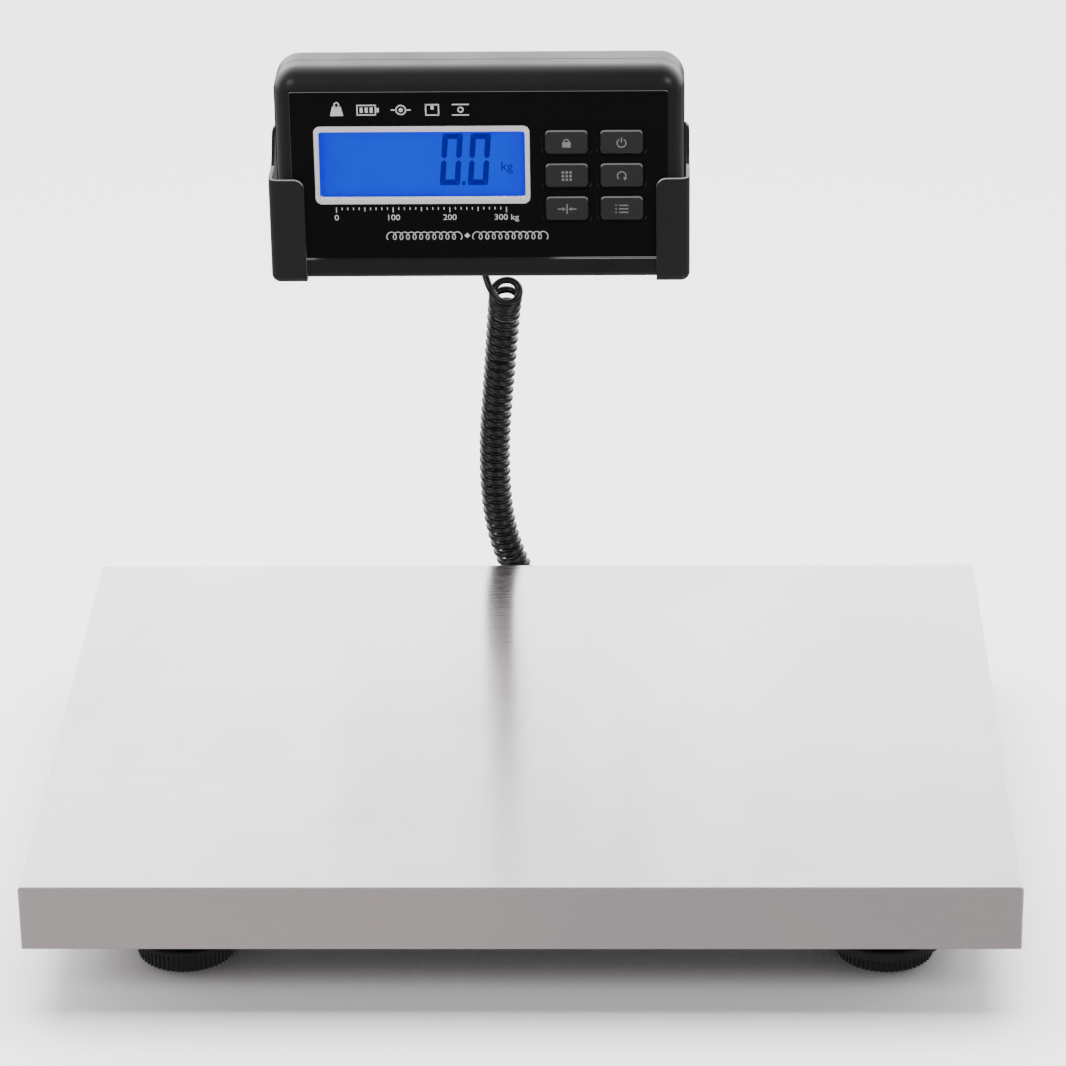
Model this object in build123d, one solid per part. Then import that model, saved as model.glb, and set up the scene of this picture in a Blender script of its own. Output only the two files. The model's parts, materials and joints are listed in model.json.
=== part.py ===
from build123d import *
import os
from math import cos, pi, radians, sin, tan

# A platform shipping scale: a steel weighing tray on one load cell, a base on four screw feet, and a
# separate indicator held in a wall bracket above the rear edge, joined to the base by a curly cord.
#
# Millimetres. X is the width, +Y points away from the user, +Z is up, and the floor is z = 0.
# Pieces are drawn about the centre of the weighing tray, then every one is moved by frame_shift_y,
# so that the origin is the middle of the whole footprint, tray and wall bracket together.

# ---------------------------------------------------------------- driving dimensions
platter_width = 400.0
platter_depth = 300.0
platter_top = 58.0            # weighing surface above the floor
skirt_height = 28.0
platter_sheet = 1.0
platter_fold = 0.9            # outside radius of the folds

base_x = 4.4                  # the loose tray sits a little to the left on its frame
base_width = 330.0
base_depth = 236.0
base_sheet = 2.5
base_z = 14.0                 # underside of the base
base_rim = 12.0               # height of its turned-up edge

cell_size = (34.0, 140.0, 22.0)
cell_z = 20.0
cell_end = 28.0               # length of each bolted end
cell_bore = 7.0
cell_bore_pitch = 30.0
bolt_r = 4.0
bolt_head_r = 6.5
bolt_pitch = 14.0

top_frame_width = 340.0
top_frame_depth = 210.0
top_frame_z = 44.5
top_frame_flange = 8.5
cushion_x = 150.0
cushion_y = 86.0
cushion_r = 12.0

stop_x = 118.0
stop_y = 74.0
stop_r = 4.0
stop_gap = 0.9                # free travel left under the top frame

foot_x = 144.0
foot_y = 98.0
foot_disc_r = 20.4
foot_disc_z = (0.5, 8.3)
foot_ribs = 60
foot_rib_r = 0.55
foot_collar_r = 26.0
foot_collar_top = 12.8
foot_collar_lift = (2.9, 0.3, 0.3, 0.8)   # how far each collar stands off its disc
foot_sole_r = 18.6
foot_stud_r = 5.0
foot_stud_top = 34.0
weld_nut_h = 9.0
thread_gap = 0.06             # radial clearance between a stud and its nut

# indicator, about its own centre line
case_x = -22.2
case_width = 180.0
case_z = (203.4, 300.0)
case_front_y = 140.0
case_rear_y = 170.8
case_seam_y = 156.0
case_corner = 11.0
case_bullnose = 9.4
case_chin = (159.0, 12.0, 3.4)  # the fuller lower edge: width, depth and round
case_rear_round = 5.0
seam_groove = (0.5, 0.45)     # width and depth of the line between the two shells
case_wall = 2.4
band_height = 9.1             # the proud bands along the top and bottom of the front
band_step = 0.45
band_depth = 9.0

overlay_size = (165.2, 77.2)
overlay_y = (140.55, 141.6)
wall_inner_y = 143.6
display_x = -47.4
display_z = 256.5
frame_outer = (94.6, 36.0)
frame_inner = (90.6, 31.2)
frame_round = 3.0

key_columns = (16.05, 40.15)
key_rows = (266.9, 251.5, 236.1)
key_names = (("key_hold", "key_power"), ("key_count", "key_clear"), ("key_tare", "key_mode"))
key_size = (18.3, 10.1)
key_front_y = 139.5
key_round = 1.7
key_gap = 0.3
key_flange = 1.0

board_size = (166.0, 76.0)
board_y = (151.0, 152.6)
battery_r = 7.1
battery_length = 50.0
bay_x = -44.2                 # middle of the battery bay and its door
door_size = (108.0, 36.0)
door_z = 207.6                # lower edge of the battery door
door_thickness = 1.8

bracket_sheet = 1.5
bracket_gap = 0.4
bracket_half = 92.8           # half its width, a little wider than the case
bracket_x = -22.7
bracket_opening = 155.0       # between the front flanges, centred on the case
bracket_flange_top = 250.4
bracket_flange_corner = 4.5
bracket_back_top = 264.8
bracket_hole_r = 2.25
bracket_hole_pitch = (120.0, 36.0)
wall_y = 173.4

jack_x = 30.0                 # adaptor socket in the underside
jack_y = 162.0
cord_r = 1.4
coil_r = 7.0
gland_x = -21.7               # cord gland under the indicator
gland_y = 161.5
base_gland = (12.4, 118.0, 22.0)

frame_shift_y = -(wall_y - platter_depth / 2) / 2

# ---------------------------------------------------------------- the cord's route
# Plain lead out of the indicator, the hanging curly stretch, then a plain lead into the base.
lead_upper_route = [
    (gland_x, gland_y, 197.4),
    (gland_x, gland_y, 192.0),
    (-18.3, 163.2, 185.6),
]
coil_route = [
    (-13.2, 161.5, 186.6),
    (-16.4, 161.5, 149.0),
    (-19.4, 161.9, 110.0),
    (-17.4, 162.2, 73.0),
    (-7.6, 161.8, 46.0),
    (-1.0, 160.6, 35.5),
]
lead_lower_route = [
    (-1.6, 160.9, 36.6),
    (1.2, 159.0, 24.6),
    (5.4, 150.0, 16.6),
    (12.4, 140.2, 22.0),
    (12.4, 128.0, 22.0),
]


def corner_radii(route):
    """The largest arc that each corner's two runs allow."""
    points = [Vector(*p) for p in route]
    radii = []
    for before, corner, after in zip(points, points[1:], points[2:]):
        turn = (corner - before).get_angle(after - corner)
        run = min((corner - before).length, (after - corner).length)
        radii.append(0.45 * run / tan(radians(turn / 2)))
    return radii


def tube(route, radius, name):
    """A round tube along straight runs joined by tangent arcs."""
    radii = corner_radii(route)
    path = FilletPolyline(*route, radius=radii)
    start = Plane(path @ 0, z_dir=path % 0)
    solid = sweep(start * Circle(radius), path=path)
    print(name, "length", round(path.length, 1), "radii", [round(r, 1) for r in radii],
          "volume ratio", round(solid.volume / (pi * radius**2 * path.length), 4))
    return solid


# ---------------------------------------------------------------- shared shapes
def block(x0, x1, y0, y1, z0, z1):
    return Pos((x0 + x1) / 2, (y0 + y1) / 2, (z0 + z1) / 2) * Box(x1 - x0, y1 - y0, z1 - z0)


def upright(x, y, z0, z1, radius):
    return Pos(x, y, (z0 + z1) / 2) * Cylinder(radius, z1 - z0)


def facing(x, z, y0, y1, radius):
    """A cylinder along Y."""
    return Pos(x, (y0 + y1) / 2, z) * Rot(90, 0, 0) * Cylinder(radius, y1 - y0)


def panel(x, z, width, height, radius, y0, y1):
    """A rounded rectangle in the XZ plane, from y0 back to y1."""
    sketch = Plane.XZ * Pos(x, z) * RectangleRounded(width, height, radius)
    return Pos(0, y0, 0) * extrude(sketch, amount=-(y1 - y0))


def hexagon_nut(x, y, z0, z1, radius, hole):
    body = Pos(x, y, z0) * extrude(RegularPolygon(radius, 6), amount=z1 - z0)
    return body - upright(x, y, z0 - 1, z1 + 1, hole)


def joined(pieces):
    return Compound(children=[solid for piece in pieces for solid in piece.solids()])


def corners(x, y):
    """Front left, front right, back left, back right, about the base's centre."""
    return [(base_x + sx * x, sy * y) for sy in (-1, 1) for sx in (-1, 1)]


# ---------------------------------------------------------------- tray and weighing frame
def platter():
    outer = block(-platter_width / 2, platter_width / 2, -platter_depth / 2, platter_depth / 2,
                  platter_top - skirt_height, platter_top)
    folds = outer.edges().filter_by(Axis.Z) + outer.edges().group_by(Axis.Z)[-1]
    outer = fillet(folds, platter_fold)
    t = platter_sheet
    inner = block(-platter_width / 2 + t, platter_width / 2 - t, -platter_depth / 2 + t,
                  platter_depth / 2 - t, platter_top - skirt_height - 1, platter_top - t)
    return outer - inner


def platter_cushions():
    pads = []
    height = platter_top - platter_sheet - top_frame_z - base_sheet
    for x, y in corners(cushion_x, cushion_y):
        pad = Pos(x, y, top_frame_z + base_sheet + height / 2) * Cone(cushion_r, cushion_r - 2, height)
        pads.append(pad)
    return joined(pads)


def bolt_places(end_y):
    return [(base_x + side * bolt_pitch / 2, end_y) for side in (-1, 1)]


cell_front_y = -(cell_size[1] - cell_end) / 2
cell_rear_y = (cell_size[1] - cell_end) / 2


def top_frame():
    w, d = top_frame_width / 2, top_frame_depth / 2
    bottom = top_frame_z - top_frame_flange
    body = block(base_x - w, base_x + w, -d, d, bottom, top_frame_z + base_sheet)
    body = fillet(body.edges().filter_by(Axis.Z), 12)
    hollow = block(base_x - w + base_sheet, base_x + w - base_sheet, -d + base_sheet, d - base_sheet,
                   bottom - 1, top_frame_z)
    body -= fillet(hollow.edges().filter_by(Axis.Z), 12 - base_sheet)
    for x, y in bolt_places(cell_front_y):
        body -= upright(x, y, top_frame_z - 1, top_frame_z + base_sheet + 1, bolt_r + 0.3)
    return body


def spacer(end_y, z0, z1):
    body = block(base_x - cell_size[0] / 2, base_x + cell_size[0] / 2, end_y - cell_end / 2,
                 end_y + cell_end / 2, z0, z1)
    for x, y in bolt_places(end_y):
        body -= upright(x, y, z0 - 1, z1 + 1, bolt_r + 0.3)
    return body


def load_cell():
    width, length, height = cell_size
    middle = cell_z + height / 2
    body = block(base_x - width / 2, base_x + width / 2, -length / 2, length / 2, cell_z, cell_z + height)
    bores = [Pos(base_x, side * cell_bore_pitch / 2, middle) * Rot(0, 90, 0) * Cylinder(cell_bore, width + 2)
             for side in (-1, 1)]
    slot = block(base_x - width, base_x + width, -cell_bore_pitch / 2, cell_bore_pitch / 2,
                 middle - 2, middle + 2)
    body -= bores[0] + bores[1] + slot
    for x, y in bolt_places(cell_front_y):
        body -= upright(x, y, middle, cell_z + height + 1, bolt_r + 0.3)
    for x, y in bolt_places(cell_rear_y):
        body -= upright(x, y, cell_z - 1, middle, bolt_r + 0.3)
    return body


def gauge_seal():
    """Potted covers over both sides of the load cell's bending section."""
    middle = cell_z + cell_size[2] / 2
    covers = []
    for side in (-1, 1):
        face = base_x + side * cell_size[0] / 2
        cover = block(min(face, face + side), max(face, face + side), -26, 26, middle - 8, middle + 8)
        covers.append(cover)
    return joined(covers)


def upper_cell_bolts():
    head_z = top_frame_z + base_sheet
    bolts = []
    for x, y in bolt_places(cell_front_y):
        shank = upright(x, y, cell_z + cell_size[2] / 2 + 1, head_z, bolt_r)
        head = Pos(x, y, head_z) * extrude(RegularPolygon(bolt_head_r, 6), amount=5)
        bolts.append(shank + head)
    return joined(bolts)


def lower_cell_bolts():
    bolts = []
    for x, y in bolt_places(cell_rear_y):
        shank = upright(x, y, base_z, cell_z + cell_size[2] / 2 - 1, bolt_r)
        head = Pos(x, y, base_z - 5) * extrude(RegularPolygon(bolt_head_r, 6), amount=5)
        bolts.append(shank + head)
    return joined(bolts)


# ---------------------------------------------------------------- base
def base_frame():
    w, d = base_width / 2, base_depth / 2
    body = block(base_x - w, base_x + w, -d, d, base_z, base_z + base_sheet + base_rim)
    body = fillet(body.edges().filter_by(Axis.Z), 20)
    hollow = block(base_x - w + base_sheet, base_x + w - base_sheet, -d + base_sheet, d - base_sheet,
                   base_z + base_sheet, base_z + base_sheet + base_rim + 1)
    body -= fillet(hollow.edges().filter_by(Axis.Z), 20 - base_sheet)
    for x, y in corners(foot_x, foot_y):
        body -= upright(x, y, base_z - 1, base_z + base_sheet + 1, foot_stud_r + 0.5)
    for x, y in bolt_places(cell_rear_y):
        body -= upright(x, y, base_z - 1, base_z + base_sheet + 1, bolt_r + 0.3)
    for x, y in corners(stop_x, stop_y):
        body -= upright(x, y, base_z - 1, base_z + base_sheet + 1, stop_r + 0.2)
    gx, gy, gz = base_gland
    return body - facing(gx, gz, gy - base_sheet - 1, gy + 1, 3.6)


def overload_stop_screws():
    top = top_frame_z - stop_gap
    return joined([chamfer(upright(x, y, base_z, top, stop_r).edges().group_by(Axis.Z)[-1], 0.8)
                   for x, y in corners(stop_x, stop_y)])


def overload_stop_nuts():
    z0 = base_z + base_sheet
    return joined([hexagon_nut(x, y, z0, z0 + 6, 7.5, stop_r + thread_gap) for x, y in corners(stop_x, stop_y)])


def foot_weld_nuts():
    z0 = base_z + base_sheet
    return joined([hexagon_nut(x, y, z0, z0 + weld_nut_h, 9.8, foot_stud_r + thread_gap)
                   for x, y in corners(foot_x, foot_y)])


def foot_disc(x, y):
    z0, z1 = foot_disc_z
    body = upright(x, y, z0, z1, foot_disc_r - foot_rib_r)
    body -= upright(x, y, z0 - 1, z0 + 0.6, foot_sole_r)
    ribs = []
    for n in range(foot_ribs):
        angle = 2 * pi * n / foot_ribs
        reach = foot_disc_r - foot_rib_r
        ribs.append(upright(x + reach * cos(angle), y + reach * sin(angle), z0, z1, foot_rib_r))
    return body + ribs - upright(x, y, z1 - 2.5, z1 + 1, foot_stud_r + thread_gap)


def foot_sole(x, y):
    sole = upright(x, y, 0, foot_disc_z[0] + 0.6, foot_sole_r)
    return chamfer(sole.edges().group_by(Axis.Z)[0], 0.5)


def foot_collar(x, y, lift):
    z0 = foot_disc_z[1] + lift
    body = upright(x, y, z0, foot_collar_top, foot_collar_r)
    body = fillet(body.edges().group_by(Axis.Z)[-1], 1.2)
    return body - upright(x, y, z0 - 1, foot_collar_top + 1, foot_stud_r)


def foot_stud(x, y):
    stud = upright(x, y, foot_disc_z[1] - 2.3, foot_stud_top, foot_stud_r)
    return chamfer(stud.edges().group_by(Axis.Z)[-1], 0.9)


def base_cord_gland():
    """The strain relief in the base's rear rim, facing the wall."""
    x, y, z = base_gland
    body = facing(x, z, y, y + 2.5, 6.0) + facing(x, z, y - base_sheet, y, 3.5)
    body += facing(x, z, y - base_sheet - 2, y - base_sheet, 5.0)
    nose = Pos(x, y + 6.25, z) * Rot(-90, 0, 0) * Cone(4.4, 2.4, 7.5)
    return body + nose


def cell_cable():
    """The load cell's own cable, from its side to the gland."""
    x, y, z = base_gland
    side = base_x + cell_size[0] / 2
    inner_end = y - base_sheet - 2
    route = [
        (side, 40.0, 26.0),
        (side + 8, 40.0, 26.0),
        (side + 16, 47.0, 21.0),
        (side + 17, 62.0, 18.6),
        (side + 12, 78.0, 18.6),
        (x + 3, 94.0, 20.0),
        (x, 105.0, z),
        (x, inner_end, z),
    ]
    return tube(route, cord_r, "cell_cable")


def cell_cable_clip():
    x, y, z = base_x + cell_size[0] / 2 + 17, 60.0, base_z + base_sheet
    arch = block(x - 4, x + 4, y - 3, y + 3, z, z + 5.8)
    arch = fillet(arch.edges().filter_by(Axis.Y).group_by(Axis.Z)[-1], 2)
    foot = block(x + 4, x + 12, y - 3, y + 3, z, z + 1.6)
    tunnel = block(x - 2.8, x + 2.8, y - 4, y + 4, z - 1, z + 4.6)
    return arch + foot - tunnel


# ---------------------------------------------------------------- indicator case
case_middle_z = (case_z[0] + case_z[1]) / 2
case_height = case_z[1] - case_z[0]


def case_form(inset):
    """The whole case's outside, made smaller by an inset all round."""
    corner = case_corner - inset
    body = panel(case_x, case_middle_z, case_width - 2 * inset, case_height - 2 * inset, corner,
                 case_front_y + inset, case_rear_y - inset)
    body = fillet(body.edges().group_by(Axis.Y)[0], case_bullnose - inset)
    return fillet(body.edges().group_by(Axis.Y)[-1], case_rear_round - min(inset, case_rear_round - 1))


def hollow_case():
    outer = case_form(0)
    low, high = case_z[0] + band_height, case_z[1] - band_height
    between_bands = block(case_x - case_width, case_x + case_width, case_front_y - 5,
                          case_front_y + band_depth, low, high)
    stepped = (outer - between_bands) + (case_form(band_step) & between_bands)
    width, depth, radius = case_chin
    chin = block(case_x - width / 2, case_x + width / 2, case_front_y, case_front_y + depth, case_z[0], low)
    stepped += fillet(chin.edges().filter_by(Axis.X).group_by(Axis.Y)[0].group_by(Axis.Z)[0], radius)
    groove_width, groove_depth = seam_groove
    seam = block(case_x - case_width, case_x + case_width, case_seam_y - groove_width / 2,
                 case_seam_y + groove_width / 2, case_z[0] - 5, case_z[1] + 5)
    stepped -= seam - case_form(groove_depth)
    cavity = panel(case_x, case_middle_z, case_width - 2 * case_wall, case_height - 2 * case_wall,
                   case_corner - case_wall, wall_inner_y, case_rear_y - case_wall)
    cavity = fillet(cavity.edges().group_by(Axis.Y)[0], case_bullnose - case_wall)
    return stepped - cavity


def post_places():
    return [(case_x + sx * (board_size[0] / 2 - 5), case_middle_z + sz * (board_size[1] / 2 - 5))
            for sx in (-1, 1) for sz in (-1, 1)]


def front_shell():
    body = hollow_case() & block(-200, 200, 100, case_seam_y, 150, 350)
    for x, z in post_places():
        body += facing(x, z, wall_inner_y - 0.5, board_y[0], 3.4)
        body -= facing(x, z, wall_inner_y + 2, board_y[0] + 1, 1.1)
    body -= panel(case_x, case_middle_z, overlay_size[0] + 0.3, overlay_size[1] + 0.3, 1.2,
                  case_front_y - 1, overlay_y[1])
    body -= panel(display_x, display_z, frame_outer[0] + 0.3, frame_outer[1] + 0.3, frame_round,
                  case_front_y - 1, wall_inner_y + 1)
    for x in key_columns:
        for z in key_rows:
            body -= panel(x, z, key_size[0] + 2 * key_gap, key_size[1] + 2 * key_gap,
                          key_round + key_gap, case_front_y - 1, wall_inner_y + 1)
    return body


def front_overlay():
    y0, y1 = overlay_y
    body = panel(case_x, case_middle_z, overlay_size[0], overlay_size[1], 1.0, y0, y1)
    body -= panel(display_x, display_z, frame_outer[0] + 0.2, frame_outer[1] + 0.2, frame_round, y0 - 1, y1 + 1)
    for x in key_columns:
        for z in key_rows:
            body -= panel(x, z, key_size[0] + 3.2, key_size[1] + 3.2, key_round + 1.4, y0 - 1, y0 + 0.45)
            body -= panel(x, z, key_size[0] + 2 * key_gap, key_size[1] + 2 * key_gap,
                          key_round + key_gap, y0 - 1, y1 + 1)
    return body


def display_frame():
    body = panel(display_x, display_z, frame_outer[0], frame_outer[1], frame_round - 0.1,
                 overlay_y[0] - 0.3, wall_inner_y - 0.2)
    body = fillet(body.edges().group_by(Axis.Y)[0], 0.25)
    return body - panel(display_x, display_z, frame_inner[0], frame_inner[1], frame_round - 1.6,
                        overlay_y[0] - 2, wall_inner_y + 1)


def display_window():
    return panel(display_x, display_z, frame_inner[0], frame_inner[1], frame_round - 1.6,
                 overlay_y[0] + 0.5, wall_inner_y - 0.2)


def lcd_glass():
    return block(display_x - 48.5, display_x + 48.5, wall_inner_y + 0.1, wall_inner_y + 2.9,
                 display_z - 19, display_z + 19)


def backlight_panel():
    light = block(display_x - 48.5, display_x + 48.5, wall_inner_y + 2.9, wall_inner_y + 5.9,
                  display_z - 18, display_z + 18)
    legs = [facing(display_x + n * 6.0, display_z - 16, wall_inner_y + 5.9, board_y[0], 0.5)
            for n in range(-6, 7)]
    return light + legs


def key(x, z):
    cap = panel(x, z, key_size[0], key_size[1], key_round, key_front_y, wall_inner_y + 0.4)
    cap = fillet(cap.edges().group_by(Axis.Y)[0], 0.5)
    width, height = key_size[0] + 2 * key_flange, key_size[1] + 2 * key_flange
    return cap + panel(x, z, width, height, key_round + 0.6, wall_inner_y + 0.4, wall_inner_y + 1.4)


def key_mat():
    """One silicone sheet with a dome under each key."""
    y0, y1 = wall_inner_y + 3.6, wall_inner_y + 4.6
    middle_x = (key_columns[0] + key_columns[1]) / 2
    mat = panel(middle_x, key_rows[1], 44, 42, 2, y0, y1)
    for x in key_columns:
        for z in key_rows:
            mat += facing(x, z, y0 - 1.0, y0, 3.6)
            mat -= facing(x, z, y1 - 0.4, y1 + 1, 3.0)
    return mat


def key_switches():
    return joined([block(x - 3, x + 3, wall_inner_y + 4.8, board_y[0], z - 3, z + 3)
                   for x in key_columns for z in key_rows])


def main_board():
    body = panel(case_x, case_middle_z, board_size[0], board_size[1], 2, board_y[0], board_y[1])
    for x, z in post_places():
        body -= facing(x, z, board_y[0] - 1, board_y[1] + 1, 1.7)
    chips = [(30.0, 275.0, 14.0), (-60.0, 275.0, 10.0), (-5.0, 262.0, 12.0)]
    for x, z, size in chips:
        body += block(x - size / 2, x + size / 2, board_y[1], board_y[1] + 1.8, z - size / 2, z + size / 2)
    return body


def board_screws():
    return joined([facing(x, z, wall_inner_y + 3, board_y[1], 1.0) + facing(x, z, board_y[1], board_y[1] + 1.6, 2.6)
                   for x, z in post_places()])


def buzzer():
    body = facing(38.0, 255.0, board_y[1], board_y[1] + 6.5, 6.0)
    return body - facing(38.0, 255.0, board_y[1] + 5, board_y[1] + 8, 1.2)


def screw_places():
    return [(case_x + sx * 78.0, z) for sx in (-1, 1) for z in (248.0, 289.0)]


def rear_shell():
    body = hollow_case() & block(-200, 200, case_seam_y, 200, 150, 350)
    for x, z in screw_places():
        body += facing(x, z, case_seam_y, case_rear_y - case_wall + 0.5, 3.6)
        body -= facing(x, z, case_seam_y - 1, case_rear_y + 1, 1.6)
        body -= facing(x, z, case_rear_y - 2.2, case_rear_y + 1, 3.0)
    door_middle = door_z + door_size[1] / 2
    body -= panel(bay_x, door_middle, door_size[0] - 4, door_size[1] - 4, 2,
                  case_rear_y - case_wall - 1, case_rear_y + 1)
    body -= block(bay_x - door_size[0] / 2 - 0.3, bay_x + door_size[0] / 2 + 0.3,
                  case_rear_y - door_thickness - 0.3, case_rear_y + 1, case_z[0] - 5,
                  door_z + door_size[1] + 0.3)
    body -= upright(gland_x, gland_y, case_z[0] - 1, case_z[0] + case_wall + 1, 3.3)
    return body - upright(jack_x, jack_y, case_z[0] - 1, case_z[0] + case_wall + 1, 3.0)


def case_screws():
    screws = []
    for x, z in screw_places():
        screws.append(facing(x, z, case_seam_y + 1, case_rear_y - 2.2, 1.3) +
                      facing(x, z, case_rear_y - 2.2, case_rear_y - 0.4, 2.7))
    return joined(screws)


def battery_door():
    y1 = case_rear_y
    door = block(bay_x - door_size[0] / 2, bay_x + door_size[0] / 2, y1 - door_thickness, y1,
                 door_z, door_z + door_size[1])
    door = fillet(door.edges().filter_by(Axis.Y), 1.5)
    for n in range(5):
        z = door_z + 5 + 1.8 * n
        door -= block(bay_x - 14, bay_x + 14, y1 - 0.5, y1 + 1, z, z + 0.8)
    return door


def battery_places():
    return [(bay_x + side * (battery_length + 1.6) / 2, row)
            for row in (door_z + 9.5, door_z + 25.0) for side in (-1, 1)]


def batteries():
    middle_y = case_rear_y - case_wall - 0.6 - battery_r
    cells = []
    for x, z in battery_places():
        cell = Pos(x, middle_y, z) * Rot(0, 90, 0) * Cylinder(battery_r, battery_length - 1.4)
        tip = Pos(x + battery_length / 2 - 0.35, middle_y, z) * Rot(0, 90, 0) * Cylinder(2.6, 0.7)
        cells.append(cell + tip)
    return joined(cells)


def battery_contacts():
    """Spring plates at both ends of each row of cells."""
    middle_y = case_rear_y - case_wall - 0.6 - battery_r
    reach = battery_length + 0.8
    plates = []
    for z in (door_z + 9.5, door_z + 25.0):
        for side in (-1, 1):
            x = bay_x + side * (reach + 0.9)
            plate = block(x - 0.3, x + 0.3, middle_y - 5, middle_y + 5, z - 5, z + 5)
            plates.append(plate)
    return joined(plates)


def dc_jack():
    """Adaptor socket in the underside: an open barrel round a centre pin."""
    z0 = case_z[0] + 0.2
    body = block(jack_x - 4.5, jack_x + 4.5, jack_y - 5, jack_y + 5, case_z[0] + case_wall, z0 + 12)
    body += upright(jack_x, jack_y, z0, z0 + 4, 2.95)
    body -= upright(jack_x, jack_y, z0 - 1, z0 + 9, 2.75)
    return body + upright(jack_x, jack_y, z0 + 0.3, z0 + 10, 1.0)


def indicator_gland():
    """Strain relief under the indicator, pointing down."""
    z0 = case_z[0]
    body = upright(gland_x, gland_y, z0, z0 + case_wall, 3.2)
    body += upright(gland_x, gland_y, z0 + case_wall, z0 + case_wall + 1.8, 4.8)
    body += upright(gland_x, gland_y, z0 - 1.6, z0, 4.8)
    return body + Pos(gland_x, gland_y, z0 - 3.6) * Cone(2.1, 3.4, 4.0)


# ---------------------------------------------------------------- wall bracket
def wall_bracket():
    """A folded steel holder: back plate, two cheeks, front flanges and short ledges."""
    t = bracket_sheet
    half = bracket_half
    front = case_front_y - bracket_gap - t
    bottom = case_z[0] - 0.1 - t
    side = Plane.YZ * make_face(Polyline(
        (front, bottom), (wall_y, bottom), (wall_y, bracket_back_top), (wall_y - 3, bracket_back_top),
        (wall_y - 12, bracket_flange_top + 3), (wall_y - 16, bracket_flange_top),
        (front, bracket_flange_top), close=True))
    body = Pos(bracket_x - half, 0, 0) * extrude(side, amount=2 * half)
    body = fillet(body.edges().filter_by(Axis.Z).group_by(Axis.Y)[0], 4.2)
    body = fillet(body.edges().filter_by(Axis.Y).group_by(Axis.Z)[0], 3.6)
    body = fillet(body.edges().filter_by(Axis.Y).group_by(Axis.Z)[-1], 2.8)
    inside = block(bracket_x - half + t, bracket_x + half - t, front + t, wall_y - t, bottom + t, 400)
    inside = fillet(inside.edges().filter_by(Axis.Z).group_by(Axis.Y)[0], 4.2 - t)
    inside = fillet(inside.edges().filter_by(Axis.Y).group_by(Axis.Z)[0], 3.6 - t)
    body -= inside
    body -= block(case_x - bracket_opening / 2, case_x + bracket_opening / 2, front - 1,
                  wall_y - t, bottom - 1, bracket_back_top + 1)
    tips = [e for e in body.edges().filter_by(Axis.Y)
            if abs(e.center().Z - bracket_flange_top) < 0.01 and e.center().Y < case_front_y]
    body = fillet(tips, bracket_flange_corner)
    middle_z = bottom + 32
    for sx in (-1, 1):
        for sz in (-1, 1):
            body -= facing(case_x + sx * bracket_hole_pitch[0] / 2, middle_z + sz * bracket_hole_pitch[1] / 2,
                           wall_y - t - 1, wall_y + 1, bracket_hole_r)
    return body


# ---------------------------------------------------------------- the set of nodes
def all_nodes():
    nodes = {
        "platter": platter(),
        "platter_cushions": platter_cushions(),
        "top_frame": top_frame(),
        "upper_spacer": spacer(cell_front_y, cell_z + cell_size[2], top_frame_z),
        "upper_cell_bolts": upper_cell_bolts(),
        "load_cell": load_cell(),
        "gauge_seal": gauge_seal(),
        "lower_spacer": spacer(cell_rear_y, base_z + base_sheet, cell_z),
        "lower_cell_bolts": lower_cell_bolts(),
        "base_frame": base_frame(),
        "overload_stop_screws": overload_stop_screws(),
        "overload_stop_nuts": overload_stop_nuts(),
        "foot_weld_nuts": foot_weld_nuts(),
        "cell_cable": cell_cable(),
        "cell_cable_clip": cell_cable_clip(),
        "base_gland": base_cord_gland(),
        "wall_bracket": wall_bracket(),
        "front_shell": front_shell(),
        "rear_shell": rear_shell(),
        "front_overlay": front_overlay(),
        "display_frame": display_frame(),
        "display_window": display_window(),
        "lcd_glass": lcd_glass(),
        "backlight_panel": backlight_panel(),
        "main_board": main_board(),
        "board_screws": board_screws(),
        "key_mat": key_mat(),
        "key_switches": key_switches(),
        "buzzer": buzzer(),
        "battery_door": battery_door(),
        "batteries": batteries(),
        "battery_contacts": battery_contacts(),
        "case_screws": case_screws(),
        "dc_jack": dc_jack(),
        "indicator_gland": indicator_gland(),
        "cord_lead_upper": tube(lead_upper_route, cord_r, "cord_lead_upper"),
        "cord_coil": tube(coil_route, coil_r, "cord_coil"),
        "cord_lead_lower": tube(lead_lower_route, cord_r, "cord_lead_lower"),
    }
    for n, (x, y) in enumerate(corners(foot_x, foot_y)):
        nodes[f"foot_disc_{n + 1}"] = foot_disc(x, y)
        nodes[f"foot_sole_{n + 1}"] = foot_sole(x, y)
        nodes[f"foot_collar_{n + 1}"] = foot_collar(x, y, foot_collar_lift[n])
        nodes[f"foot_stud_{n + 1}"] = foot_stud(x, y)
    for row, z in enumerate(key_rows):
        for column, x in enumerate(key_columns):
            nodes[key_names[row][column]] = key(x, z)
    return nodes


os.makedirs("parts", exist_ok=True)
for name, shape in all_nodes().items():
    export_step(Pos(0, frame_shift_y, 0) * shape, f"parts/{name}.step")
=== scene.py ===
import json
from math import cos, pi, radians, sin

import bmesh
import bpy
from mathutils import Matrix, Vector


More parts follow.
